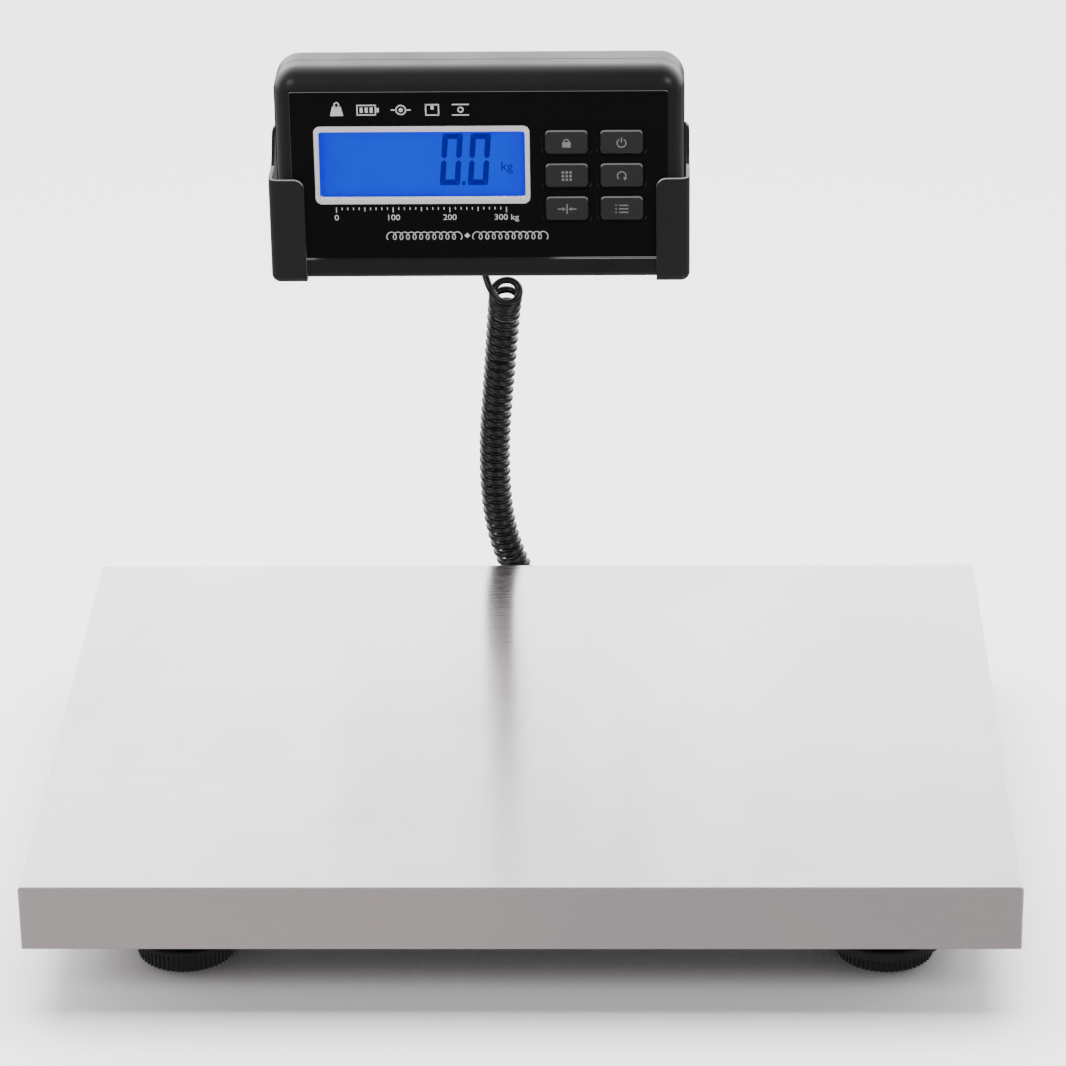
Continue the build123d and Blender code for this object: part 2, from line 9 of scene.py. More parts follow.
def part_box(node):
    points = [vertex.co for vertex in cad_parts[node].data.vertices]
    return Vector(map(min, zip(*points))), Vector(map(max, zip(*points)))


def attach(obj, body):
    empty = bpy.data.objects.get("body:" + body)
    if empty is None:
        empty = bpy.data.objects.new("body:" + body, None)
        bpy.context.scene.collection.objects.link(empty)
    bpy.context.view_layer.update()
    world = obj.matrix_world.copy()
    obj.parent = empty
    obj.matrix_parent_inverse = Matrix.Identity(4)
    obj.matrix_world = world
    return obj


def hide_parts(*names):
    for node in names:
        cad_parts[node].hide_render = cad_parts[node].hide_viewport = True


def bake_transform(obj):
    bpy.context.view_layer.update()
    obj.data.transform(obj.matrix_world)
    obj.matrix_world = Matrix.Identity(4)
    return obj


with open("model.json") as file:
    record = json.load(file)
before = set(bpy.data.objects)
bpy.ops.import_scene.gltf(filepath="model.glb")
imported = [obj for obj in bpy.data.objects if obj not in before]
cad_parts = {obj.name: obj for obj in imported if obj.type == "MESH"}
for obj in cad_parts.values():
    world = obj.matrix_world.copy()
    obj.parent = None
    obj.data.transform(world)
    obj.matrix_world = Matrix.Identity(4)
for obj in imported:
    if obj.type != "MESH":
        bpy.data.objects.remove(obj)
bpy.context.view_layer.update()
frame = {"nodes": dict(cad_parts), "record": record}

# A platform shipping scale. Everything is in metres, in the part's own frame: +X to the right, +Y away
# from the user, +Z up, floor at z = 0. Places come from the CAD nodes' boxes wherever they can.

MM = 0.001

platter_low, platter_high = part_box("platter")
frame_low, frame_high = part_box("display_frame")
window_low, window_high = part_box("display_window")
panel_face_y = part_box("front_overlay")[0].y
glass_face_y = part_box("lcd_glass")[0].y


# ---------------------------------------------------------------- camera
CAMERA_PLACE = Vector((0.0539, -1.6543, 0.9049))
CAMERA_YAW = -0.0309      # radians to the right of +Y
CAMERA_PITCH = 0.4338     # radians below the horizon
CAMERA_ROLL = -0.0155
CAMERA_LENS = 145.65      # millimetres on a 36 mm sensor


def make_camera():
    forward = Vector((sin(CAMERA_YAW) * cos(CAMERA_PITCH), cos(CAMERA_YAW) * cos(CAMERA_PITCH),
                      -sin(CAMERA_PITCH)))
    level = Vector((cos(CAMERA_YAW), -sin(CAMERA_YAW), 0))
    above = level.cross(forward)
    right = level * cos(CAMERA_ROLL) + above * sin(CAMERA_ROLL)
    up = above * cos(CAMERA_ROLL) - level * sin(CAMERA_ROLL)
    data = bpy.data.cameras.new("camera")
    data.lens = CAMERA_LENS
    data.sensor_width = 36
    data.clip_start = 0.05
    camera = bpy.data.objects.new("camera", data)
    turned = Matrix((right, up, -forward)).transposed().to_4x4()
    camera.matrix_world = Matrix.Translation(CAMERA_PLACE) @ turned
    bpy.context.scene.collection.objects.link(camera)
    bpy.context.scene.camera = camera


make_camera()


# ---------------------------------------------------------------- mesh helpers
def add_object(name, mesh):
    obj = bpy.data.objects.new(name, mesh)
    bpy.context.scene.collection.objects.link(obj)
    return obj


def smooth(obj):
    for polygon in obj.data.polygons:
        polygon.use_smooth = True


def spline_curve(name, points, bevel=0.0, resolution=6, bevel_resolution=3):
    """A smooth open NURBS curve with these control points."""
    data = bpy.data.curves.new(name, "CURVE")
    data.dimensions = "3D"
    data.resolution_u = resolution
    data.bevel_depth = bevel
    data.bevel_resolution = bevel_resolution
    data.use_fill_caps = bevel > 0
    spline = data.splines.new("NURBS")
    spline.points.add(len(points) - 1)
    for place, point in zip(points, spline.points):
        point.co = (*place, 1)
    spline.order_u = 3
    spline.use_endpoint_u = True
    return add_object(name, data)


def mesh_of(curve_object, name):
    """The curve's final mesh, as a mesh of its own. The curve object is removed."""
    bpy.context.view_layer.update()
    mesh = bpy.data.meshes.new_from_object(curve_object)
    mesh.name = name
    curve = curve_object.data
    bpy.data.objects.remove(curve_object)
    bpy.data.curves.remove(curve)
    return mesh


def line_points(points, resolution=6):
    """Points read along the smooth line that these control points make."""
    mesh = mesh_of(spline_curve("line", points, resolution=resolution), "line")
    places = [v.co.copy() for v in mesh.vertices]
    bpy.data.meshes.remove(mesh)
    return places


def resampled(places, step):
    """The same line with its points an even step apart."""
    out = [places[0].copy()]
    need = step
    for a, b in zip(places, places[1:]):
        length = (b - a).length
        at = need
        while at <= length:
            out.append(a.lerp(b, at / length))
            at += step
        need = at - length
    return out


# ---------------------------------------------------------------- cord
CORD_D = 0.0033
COIL_R = 0.0056           # from the coil's centre line to the wire's
COIL_PITCH = 0.00412
COIL_START_ANGLE = radians(232)
COIL_TILT = radians(45)   # the first turn leans towards the user and the lean dies away
TILT_TURNS = 3
TILT_FADE = 1.5
COIL_FLARE = 0.0006       # the coil is a little wider at its top
FLARE_TURNS = 14
TURN_POINTS = 14

LEAD_UPPER = [
    (-0.0217, 0.1498, 0.1974),
    (-0.0207, 0.1476, 0.1945),
    (-0.0190, 0.1448, 0.1912),
]
COIL_LINE = [
    (-0.0120, 0.1460, 0.1913),
    (-0.0126, 0.1479, 0.1868),
    (-0.0134, 0.1496, 0.1790),
    (-0.0160, 0.1499, 0.1490),
    (-0.0194, 0.1502, 0.1100),
    (-0.0176, 0.1505, 0.0730),
    (-0.0082, 0.1501, 0.0460),
    (-0.0010, 0.1489, 0.0355),
]
LEAD_LOWER = [
    (0.0012, 0.1473, 0.0246),
    (0.0054, 0.1383, 0.0166),
    (0.0124, 0.1285, 0.0220),
    (0.0124, 0.1163, 0.0220),
]


def helix_points(centre_line):
    """Left-handed turns of wire round a centre line, from the top down."""
    step = COIL_PITCH / TURN_POINTS
    places = resampled(centre_line, step)
    across = Vector((1, 0, 0))
    out = []
    for n, place in enumerate(places[:-1]):
        along = (places[n + 1] - place).normalized()
        across = (across - along * across.dot(along)).normalized()
        behind = across.cross(along)
        angle = COIL_START_ANGLE + 2 * pi * n / TURN_POINTS
        tilt = COIL_TILT * max(0.0, 1 - n / (TILT_TURNS * TURN_POINTS)) ** TILT_FADE
        away = behind * cos(tilt) - along * sin(tilt)
        radius = COIL_R + COIL_FLARE * max(0.0, 1 - n / (FLARE_TURNS * TURN_POINTS))
        out.append(place + (across * cos(angle) + away * sin(angle)) * radius)
    return out


def make_cord():
    centre_line = line_points([Vector(p) for p in COIL_LINE], resolution=40)
    turns = helix_points(centre_line)
    points = [Vector(p) for p in LEAD_UPPER] + turns + [Vector(p) for p in LEAD_LOWER]
    path = line_points(points, resolution=3)
    tube = spline_curve("curly_cord", points, bevel=CORD_D / 2, resolution=3, bevel_resolution=3)
    cord = add_object("curly_cord", mesh_of(tube, "curly_cord"))
    smooth(cord)
    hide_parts("cord_lead_upper", "cord_coil", "cord_lead_lower")
    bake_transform(cord)
    return cord


cord = make_cord()


# ---------------------------------------------------------------- materials
class Shader:
    """A material with its nodes at hand."""

    def __init__(self, name, **sockets):
        self.material = bpy.data.materials.new(name)
        self.material.use_nodes = True
        self.tree = self.material.node_tree
        self.nodes = self.tree.nodes
        self.surface = self.nodes["Principled BSDF"]
        for socket, value in sockets.items():
            self.surface.inputs[socket.replace("_", " ")].default_value = value
        self.place = self.add("ShaderNodeTexCoord").outputs["Object"]

    def add(self, kind, **settings):
        node = self.nodes.new(kind)
        for key, value in settings.items():
            setattr(node, key, value)
        return node

    def join(self, a, b):
        self.tree.links.new(a, b)

    def put(self, socket, value):
        """A number or colour onto a socket, or a link from another node."""
        if hasattr(value, "is_output"):
            self.join(value, socket)
        else:
            socket.default_value = value

    def scaled(self, scale):
        """Object coordinates, stretched."""
        mapping = self.add("ShaderNodeMapping")
        mapping.inputs["Scale"].default_value = scale
        self.join(self.place, mapping.inputs["Vector"])
        return mapping.outputs["Vector"]

    def noise(self, scale, detail=3.0, stretch=(1, 1, 1), roughness=0.55):
        node = self.add("ShaderNodeTexNoise")
        node.inputs["Scale"].default_value = scale
        node.inputs["Detail"].default_value = detail
        node.inputs["Roughness"].default_value = roughness
        self.join(self.scaled(stretch), node.inputs["Vector"])
        return node.outputs["Fac"]

    def ramp(self, value, stops):
        """A value turned into a colour by these (place, colour) stops."""
        node = self.add("ShaderNodeValToRGB")
        elements = node.color_ramp.elements
        while len(elements) < len(stops):
            elements.new(0.5)
        for element, (place, colour) in zip(elements, stops):
            element.position = place
            element.color = colour if len(colour) == 4 else (*colour, 1)
        self.join(value, node.inputs["Fac"])
        return node.outputs["Color"]

    def span(self, value, low, high, start=0.0, end=1.0):
        """A value from start to end turned into low to high."""
        node = self.add("ShaderNodeMapRange")
        self.join(value, node.inputs["Value"])
        for name, number in (("From Min", start), ("From Max", end), ("To Min", low), ("To Max", high)):
            node.inputs[name].default_value = number
        return node.outputs["Result"]

    def mix(self, factor, a, b, blend="MIX"):
        node = self.add("ShaderNodeMix", data_type="RGBA", blend_type=blend)
        self.put(node.inputs["Factor"], factor)
        self.put(node.inputs["A"], a)
        self.put(node.inputs["B"], b)
        return node.outputs["Result"]

    def math(self, operation, a, b=0.0):
        node = self.add("ShaderNodeMath", operation=operation)
        self.put(node.inputs[0], a)
        self.put(node.inputs[1], b)
        return node.outputs["Value"]

    def bump(self, height, strength, distance):
        node = self.add("ShaderNodeBump")
        node.inputs["Strength"].default_value = strength
        node.inputs["Distance"].default_value = distance
        self.join(height, node.inputs["Height"])
        return node.outputs["Normal"]

    def finish(self, colour=None, roughness=None, normal=None):
        """Joins what is given to the surface and gives back the material."""
        for socket, value in (("Base Color", colour), ("Roughness", roughness), ("Normal", normal)):
            if value is not None:
                self.join(value, self.surface.inputs[socket])
        return self.material


def grey(value):
    return (value, value, value, 1)


def stainless():
    """Fine brushed steel with its grain running from left to right, so reflections smear across the grain.

    It is duller towards the user's edge, where parcels are slid on."""
    s = Shader("stainless", Metallic=1.0, Roughness=0.27, Anisotropic=1.0)
    parts = s.add("ShaderNodeSeparateXYZ")
    s.join(s.add("ShaderNodeTexCoord").outputs["Normal"], parts.inputs["Vector"])
    at_side = s.math("GREATER_THAN", s.math("MULTIPLY", parts.outputs["X"], parts.outputs["X"]), 0.5)
    across_grain = []
    for axis in ("X", "Y"):
        tangent = s.add("ShaderNodeTangent")
        tangent.direction_type = "RADIAL"
        tangent.axis = axis
        across_grain.append(tangent.outputs["Tangent"])
    s.join(s.mix(at_side, *across_grain), s.surface.inputs["Tangent"])
    on_top = s.math("GREATER_THAN", parts.outputs["Z"], 0.7)
    grain = s.noise(1.0, 5, (45, 1700, 1700))
    clouds = s.noise(4.0, 4, (1, 1, 1), 0.6)
    blotches = s.noise(14.0, 4, (1, 0.6, 1), 0.6)
    tint = s.ramp(clouds, [(0.34, (0.985, 0.935, 0.955)), (0.50, (0.975, 0.945, 0.94)),
                           (0.64, (0.925, 0.905, 0.92))])
    colour = s.mix(0.14, tint, s.ramp(blotches, [(0.3, grey(0.72)), (0.6, grey(1.0))]), "MULTIPLY")
    colour = s.mix(0.10, colour, s.ramp(grain, [(0.3, grey(0.35)), (0.7, grey(1.0))]), "MULTIPLY")
    # Faces that don't face up (the skirt) get painted shade: a warmer, slightly darker copy of the top's
    # colour.
    skirt_painted_shade = s.mix(1.0, colour, (1.0, 0.945, 0.925, 1), "MULTIPLY")
    colour = s.mix(on_top, skirt_painted_shade, colour)
    place = s.add("ShaderNodeSeparateXYZ")
    s.join(s.place, place.inputs["Vector"])
    worn = s.span(place.outputs["Y"], 0.26, 0.33, platter_high.y, platter_low.y)
    rough = s.math("ADD", worn, s.math("ADD", s.span(grain, -0.02, 0.02, 0.3, 0.7),
                                       s.span(blotches, -0.02, 0.03, 0.3, 0.7)))
    return s.finish(colour, rough, s.bump(grain, 0.04, 0.00002))


def moulded(name, colour, roughness):
    """Moulded plastic with a fine spark-eroded texture."""
    s = Shader(name, Roughness=roughness, Specular_IOR_Level=0.32)
    fine = s.noise(2600, 2)
    broad = s.noise(28, 3)
    tone = s.mix(s.span(broad, 0.0, 0.5), (*colour, 1), (*[c * 1.25 for c in colour], 1))
    rough = s.span(broad, roughness - 0.07, roughness + 0.07, 0.3, 0.7)
    return s.finish(tone, rough, s.bump(fine, 0.35, 0.00003))


def gloss_panel():
    """Acrylic front panel, back-printed black, with a little dust."""
    s = Shader("gloss_panel", Specular_IOR_Level=0.09)
    dust = s.noise(900, 4, roughness=0.8)
    smear = s.noise(22, 4, (1, 1, 2.5))
    colour = s.ramp(dust, [(0.70, (0.0022, 0.0022, 0.0026)), (0.80, (0.006, 0.006, 0.0065))])
    return s.finish(colour, s.span(smear, 0.05, 0.12, 0.35, 0.7))


def powder_coat(name, colour, roughness=0.4):
    """Sprayed and baked coat with a fine orange peel."""
    s = Shader(name, Roughness=roughness, Specular_IOR_Level=0.32)
    orange_peel = s.noise(1100, 2)
    broad = s.noise(18, 3)
    tone = s.mix(broad, (*colour, 1), (*[c * 1.3 for c in colour], 1))
    return s.finish(tone, s.span(broad, roughness - 0.06, roughness + 0.06, 0.3, 0.7),
                    s.bump(orange_peel, 0.3, 0.00005))


def rubber(name, colour, roughness=0.62, scale=1800):
    """Dull grained rubber, a little paler where it is worn."""
    s = Shader(name, Roughness=roughness)
    grain = s.noise(scale, 3)
    wear = s.noise(60, 3)
    tone = s.mix(wear, (*colour, 1), (*[c * 1.5 for c in colour], 1))
    rough = s.span(wear, roughness - 0.08, roughness + 0.1, 0.3, 0.7)
    return s.finish(tone, rough, s.bump(grain, 0.4, 0.00004))


def cord_skin():
    """Satin PVC with faint draw lines."""
    s = Shader("cord_skin", Roughness=0.3, Specular_IOR_Level=0.4)
    grain = s.noise(900, 3)
    tone = s.ramp(s.noise(120, 3), [(0.3, (0.0018, 0.0017, 0.002)), (0.7, (0.0035, 0.0032, 0.004))])
    return s.finish(tone, s.span(grain, 0.26, 0.36, 0.3, 0.7), s.bump(grain, 0.12, 0.00003))


def plain_metal(name, colour, roughness, stretch):
    """Machined or plated metal, its marks running along the axis with the smallest stretch."""
    s = Shader(name, Metallic=1.0, Roughness=roughness)
    marks = s.noise(1.0, 4, stretch)
    stains = s.noise(40, 3)
    tone = s.mix(stains, (*colour, 1), (*[c * 0.82 for c in colour], 1))
    rough = s.span(marks, roughness - 0.08, roughness + 0.1, 0.3, 0.7)
    return s.finish(tone, rough, s.bump(marks, 0.25, 0.00003))


def circuit_board():
    """Green board with paler tracks in blocks."""
    s = Shader("circuit_board", Roughness=0.35)
    tracks = s.add("ShaderNodeTexBrick")
    tracks.inputs["Scale"].default_value = 260
    tracks.inputs["Color1"].default_value = (0.010, 0.11, 0.045, 1)
    tracks.inputs["Color2"].default_value = (0.014, 0.15, 0.06, 1)
    tracks.inputs["Mortar"].default_value = (0.02, 0.20, 0.08, 1)
    s.join(s.scaled((1, 1, 1)), tracks.inputs["Vector"])
    patches = s.noise(50, 3)
    shade = s.ramp(patches, [(0.4, grey(0.02)), (0.6, grey(0.1))])
    colour = s.mix(0.3, tracks.outputs["Color"], shade)
    return s.finish(colour, s.span(patches, 0.28, 0.45, 0.3, 0.7))


def display_print():
    """Light grey printed frame round the display."""
    s = Shader("display_print", Roughness=0.38)
    grain = s.noise(1500, 2)
    return s.finish(s.ramp(grain, [(0.3, (0.46, 0.445, 0.485)), (0.7, (0.52, 0.50, 0.54))]), None,
                    s.bump(grain, 0.2, 0.00002))


def lit_display():
    """A backlit blue liquid crystal: brighter in the middle, deeper blue at its edges."""
    s = Shader("lit_display", Roughness=0.5, Emission_Strength=1.0, Specular_IOR_Level=0.02)
    place = s.add("ShaderNodeSeparateXYZ")
    s.join(s.place, place.inputs["Vector"])
    middle_x = (window_low.x + window_high.x) / 2
    middle_z = (window_low.z + window_high.z) / 2
    half_x = (window_high.x - window_low.x) / 2
    half_z = (window_high.z - window_low.z) / 2
    out_x = s.math("POWER", s.span(place.outputs["X"], -1, 1, middle_x - half_x, middle_x + half_x), 8)
    out_z = s.math("POWER", s.span(place.outputs["Z"], -1, 1, middle_z - half_z, middle_z + half_z), 6)
    edge = s.math("MAXIMUM", out_x, out_z)
    uneven = s.math("ADD", s.math("MULTIPLY", s.noise(60, 3), 0.35), s.math("MULTIPLY", edge, 0.9))
    colour = s.ramp(uneven, [(0.10, (0.0, 0.050, 1.0)), (0.45, (0.0, 0.034, 1.0)), (1.0, (0.0, 0.003, 0.92))])
    s.join(colour, s.surface.inputs["Emission Color"])
    return s.finish(s.ramp(uneven, [(0.2, (0.0, 0.004, 0.05)), (0.8, (0.0, 0.002, 0.04))]))


def clear_plastic():
    """Thin clear window, so nearly without an edge of its own."""
    s = Shader("clear_plastic", IOR=1.05, Transmission_Weight=1.0)
    s.surface.inputs["Base Color"].default_value = (0.98, 0.99, 1.0, 1)
    return s.finish(None, s.span(s.noise(40, 3), 0.0, 0.03, 0.35, 0.7))


def digit_ink():
    """Switched-on segments: a deeper blue than the backlight they cover."""
    s = Shader("digit_ink", Roughness=0.6, Emission_Strength=0.75, Specular_IOR_Level=0.02)
    s.join(s.ramp(s.noise(400, 2), [(0.3, (0.0, 0.0, 0.36)), (0.7, (0.0, 0.0, 0.42))]),
           s.surface.inputs["Emission Color"])
    return s.finish(s.ramp(s.noise(400, 2), [(0.3, (0.0, 0.0, 0.02)), (0.7, (0.0, 0.0, 0.03))]))


def ink(name, colour, roughness=0.45):
    """Screen-printed ink, a little uneven."""
    s = Shader(name, Roughness=roughness)
    patchy = s.noise(3000, 2)
    darker = tuple(c * 0.8 for c in colour)
    tone = s.ramp(patchy, [(0.3, darker), (0.6, colour)])
    return s.finish(tone, s.span(patchy, roughness - 0.05, roughness + 0.1))


MATERIALS = {
    "stainless_brushed": stainless(),
    "black_rubber": rubber("black_rubber", (0.014, 0.014, 0.015)),
    "grey_paint": powder_coat("grey_paint", (0.030, 0.031, 0.034), 0.5),
    "aluminium_plate": plain_metal("aluminium_plate", (0.72, 0.72, 0.73), 0.36, (30, 900, 900)),
    "zinc_steel": plain_metal("zinc_steel", (0.60, 0.61, 0.62), 0.3, (700, 700, 40)),
    "cell_aluminium": plain_metal("cell_aluminium", (0.66, 0.67, 0.69), 0.38, (500, 25, 500)),
    "white_seal": rubber("white_seal", (0.62, 0.62, 0.58), 0.5, 700),
    "black_cord": cord_skin(),
    "nylon_clip": moulded("nylon_clip", (0.60, 0.59, 0.53), 0.45),
    "black_powder_coat": powder_coat("black_powder_coat", (0.0065, 0.0060, 0.0072), 0.36),
    "black_case": moulded("black_case", (0.0042, 0.0039, 0.0046), 0.33),
    "gloss_panel": gloss_panel(),
    "display_grey": display_print(),
    "clear_window": clear_plastic(),
    "blue_lcd": lit_display(),
    "blue_backlight": moulded("blue_backlight", (0.5, 0.6, 0.8), 0.5),
    "circuit_board": circuit_board(),
    "silicone_mat": rubber("silicone_mat", (0.32, 0.32, 0.34), 0.55, 900),
    "switch_plastic": moulded("switch_plastic", (0.015, 0.015, 0.015), 0.5),
    "cell_wrap": moulded("cell_wrap", (0.03, 0.03, 0.035), 0.25),
    "foot_plastic": moulded("foot_plastic", (0.0075, 0.007, 0.0085), 0.45),
    "key_plastic": moulded("key_plastic", (0.0125, 0.0115, 0.0130), 0.45),
}
PRINT = ink("white_print", (0.46, 0.45, 0.47))
KEY_PRINT = ink("key_print", (0.17, 0.16, 0.16))
DIGIT = digit_ink()


def dress_nodes():
    """Every CAD node gets the material of its slot."""
    slot_of = {s["node"]: s["material_slot"] for s in frame["record"]["subparts"]}
    for name, node in frame["nodes"].items():
        node.data.materials.clear()
        node.data.materials.append(MATERIALS[slot_of[name]])


def quieten_reflections():
    """The tray shows the cord's reflection and not that of the indicator or its bracket."""
    for name in ["wall_bracket"] + frame["record"]["behaviour"]["bodies"]["indicator"]:
        frame["nodes"][name].visible_glossy = False


dress_nodes()
quieten_reflections()
cord.data.materials.append(MATERIALS["black_cord"])


def make_load_cell():
    """The load cell beam, thin at its middle, as a mesh of its own in place of the CAD node."""
    mesh = frame["nodes"]["load_cell"].data.copy()
    mesh.name = "bending_load_cell"
    cell = add_object("bending_load_cell", mesh)
    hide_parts("load_cell")
    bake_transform(cell)


make_load_cell()


# ---------------------------------------------------------------- thin printed shapes
PRINT_THICKNESS = 0.00004
FONT_SIZE_PER_CAPITAL = 1.38


class Sheet:
    """Flat shapes facing the user, with a hair's thickness, gathered into one mesh.

    Places are (x, z) in millimetres from the sheet's centre."""

    def __init__(self, centre, y, size=1.0):
        self.centre = centre
        self.y = y
        self.size = size * MM
        self.mesh = bmesh.new()

    def spot(self, x, z):
        return Vector((self.centre[0] + x * self.size, self.y, self.centre[1] + z * self.size))

    def patch(self, corners):
        front = [self.mesh.verts.new(self.spot(x, z) - Vector((0, PRINT_THICKNESS, 0))) for x, z in corners]
        back = [self.mesh.verts.new(self.spot(x, z)) for x, z in corners]
        self.mesh.faces.new(front)
        self.mesh.faces.new(back[::-1])
        for n in range(len(corners)):
            m = (n + 1) % len(corners)
            self.mesh.faces.new((front[m], front[n], back[n], back[m]))

    def bar(self, a, b, width):
        """A straight stroke with square ends."""
        a, b = Vector(a), Vector(b)
        side = (b - a).orthogonal().normalized() * width / 2
        self.patch([a - side, b - side, b + side, a + side])

    def ring(self, centre, radius, width, start=0.0, end=360.0, steps=28):
        """An arc stroke, as one strip from one end to the other."""
        angles = [radians(start + (end - start) * n / steps) for n in range(steps + 1)]
        inner = [(centre[0] + (radius - width / 2) * cos(a), centre[1] + (radius - width / 2) * sin(a))
                 for a in angles]
        outer = [(centre[0] + (radius + width / 2) * cos(a), centre[1] + (radius + width / 2) * sin(a))
                 for a in angles]
        for n in range(steps):
            self.patch([inner[n], outer[n], outer[n + 1], inner[n + 1]])

    def done(self, name, material, body):
        bmesh.ops.remove_doubles(self.mesh, verts=self.mesh.verts, dist=1e-7)
        bmesh.ops.recalc_face_normals(self.mesh, faces=self.mesh.faces)
        mesh = bpy.data.meshes.new(name)
        self.mesh.to_mesh(mesh)
        self.mesh.free()
        obj = add_object(name, mesh)
        mesh.materials.append(material)
        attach(obj, body)


def lettering(name, words, x, z, y, height, material, slot, align="LEFT", stretch=1.0):
    """Plain numbers and units as a thin mesh on the indicator. x and z are the text's lower corner."""
    data = bpy.data.curves.new(name, "FONT")
    data.body = words
    data.size = height * FONT_SIZE_PER_CAPITAL
    data.align_x = align
    data.extrude = PRINT_THICKNESS / 2
    text = add_object(name + "_text", data)
    text.matrix_world = (Matrix.Translation((x, y - PRINT_THICKNESS / 2, z)) @ Matrix.Rotation(pi / 2, 4, "X")
                         @ Matrix.Diagonal((stretch, 1, 1, 1)))
    bpy.context.view_layer.update()
    place = text.matrix_world.copy()
    mesh = bpy.data.meshes.new_from_object(text)
    mesh.transform(place)
    bpy.data.objects.remove(text)
    mesh.name = name
    mesh.materials.clear()
    mesh.materials.append(material)
    obj = add_object(name, mesh)
    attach(obj, "indicator")


# ---------------------------------------------------------------- display digits
DIGITS_CORNER = (-0.0400, 0.2461)    # lower left corner of the first digit, in metres
DIGIT_HEIGHT = 24.0                  # millimetres, as are the four below
DIGIT_WIDTH = 8.9
DIGIT_STROKE = 2.6
DIGIT_SLANT = 0.075
DIGIT_STEP = 12.3
UNIT_CORNER = (-0.0131, 0.2528)
UNIT_HEIGHT = 0.0044


def digit_zero(sheet, x):
    """A seven-segment 0 with its lower left corner at x: mitred strokes, split in the middle."""
    w, h, t, gap = DIGIT_WIDTH, DIGIT_HEIGHT, DIGIT_STROKE, 0.16
    half = h / 2
    segments = [
        [(0, h), (w, h), (w - t, h - t), (t, h - t)],
        [(0, 0), (w, 0), (w - t, t), (t, t)],
        [(0, gap * 2), (t - gap, t), (t - gap, half - t * 0.55), (t / 2, half - gap * 2),
         (0, half - t * 0.55)],
        [(0, h - gap * 2), (t - gap, h - t), (t - gap, half + t * 0.55), (t / 2, half + gap * 2),
         (0, half + t * 0.55)],
    ]
    segments += [[(w - px, pz) for px, pz in segment] for segment in segments[2:]]
    for segment in segments:
        sheet.patch([(x + px + DIGIT_SLANT * pz, pz) for px, pz in segment])


def make_digits():
    sheet = Sheet(DIGITS_CORNER, glass_face_y)
    digit_zero(sheet, 0.0)
    digit_zero(sheet, DIGIT_STEP)
    sheet.patch([(9.8, 0), (11.2, 0), (11.35, 1.8), (9.95, 1.8)])
    sheet.done("lcd_digits", DIGIT, "indicator")
    lettering("lcd_unit", "kg", *UNIT_CORNER, glass_face_y, UNIT_HEIGHT, DIGIT, "blue_lcd")


make_digits()


# ---------------------------------------------------------------- legends on the keys
STROKE = 0.40
LEGEND_SIZE = 1.25


def arrow_head(sheet, tip, direction):
    size, slimness = 1.1, 0.62
    d = Vector(direction).normalized()
    side = Vector((-d.y, d.x)) * size * slimness
    tip = Vector(tip)
    base = tip - d * size
    sheet.patch([tip, base + side, base - side])


def legend_hold(s):
    """A padlock: the reading is held."""
    s.patch([(-1.5, -1.7), (1.5, -1.7), (1.5, 0.3), (-1.5, 0.3)])
    s.ring((0, 0.3), 0.95, STROKE, 0, 180, 14)


def legend_power(s):
    """A broken ring with a stroke in its gap: on and off."""
    s.ring((0, -0.15), 1.55, STROKE, 120, 420, 26)
    s.bar((0, 0.1), (0, 1.9), STROKE)


def legend_count(s):
    """A grid of pieces: they are counted."""
    for row in (-1, 0, 1):
        for column in (-1, 0, 1):
            x, z = column * 1.35, row * 1.35
            s.patch([(x - 0.4, z - 0.4), (x + 0.4, z - 0.4), (x + 0.4, z + 0.4), (x - 0.4, z + 0.4)])


def legend_clear(s):
    """A ring arrow: back to zero."""
    s.ring((0, 0), 1.5, STROKE, -40, 230, 24)
    end = radians(-40)
    arrow_head(s, (1.5 * cos(end) - 0.25, 1.5 * sin(end) - 0.75), (-0.35, -1))


def legend_tare(s):
    """Two arrows onto a middle line: the load is set to nothing."""
    s.bar((0, -1.8), (0, 1.8), STROKE)
    for side in (-1, 1):
        s.bar((side * 3.3, 0), (side * 1.4, 0), STROKE)
        arrow_head(s, (side * 0.5, 0), (-side, 0))


def legend_mode(s):
    """A list of choices."""
    for row in (-1, 0, 1):
        s.bar((-1.0, row * 1.3), (2.3, row * 1.3), STROKE)
        s.bar((-2.3, row * 1.3), (-1.75, row * 1.3), STROKE)


LEGENDS = {"hold": legend_hold, "power": legend_power, "count": legend_count,
           "clear": legend_clear, "tare": legend_tare, "mode": legend_mode}


def make_legends():
    for name, draw in LEGENDS.items():
        low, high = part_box("key_" + name)
        sheet = Sheet(((low.x + high.x) / 2, (low.z + high.z) / 2), low.y, LEGEND_SIZE)
        draw(sheet)
        sheet.done("legend_" + name, KEY_PRINT, name + "_key")


make_legends()


# ---------------------------------------------------------------- print on the front panel
LOOPS = 11
LOOP_STEPS = 22
LOOP_RADIUS = 1.75
LOOP_STROKE = 0.4
PICTOGRAM_STROKE = 0.55
TICK_STROKE = 0.42
FIRST_TICK_X = 9.0       # millimetres from the display frame's left edge
TICK_GAP = 2.5


def looped_line(sheet, start, end, level):
    """A pen line that runs along and turns over itself, as in a practice row of loops."""
    steps = LOOP_STEPS * LOOPS
    points = []
    for n in range(steps + 1):
        a = 2 * pi * n / LOOP_STEPS
        along = start + (end - start) * n / steps
        points.append((along - LOOP_RADIUS * 0.75 * sin(a), level - LOOP_RADIUS * cos(a)))
    for p, q in zip(points, points[1:]):
        sheet.bar(p, q, LOOP_STROKE)


def outline(sheet, left, right, bottom, top):
    """A rectangle drawn with four strokes. left to top are the outer strokes' middle lines."""
    line = PICTOGRAM_STROKE
    for z in (bottom, top):
        sheet.bar((left - 0.3, z), (right + 0.3, z), line)
    for x in (left, right):
        sheet.bar((x, bottom), (x, top), line)


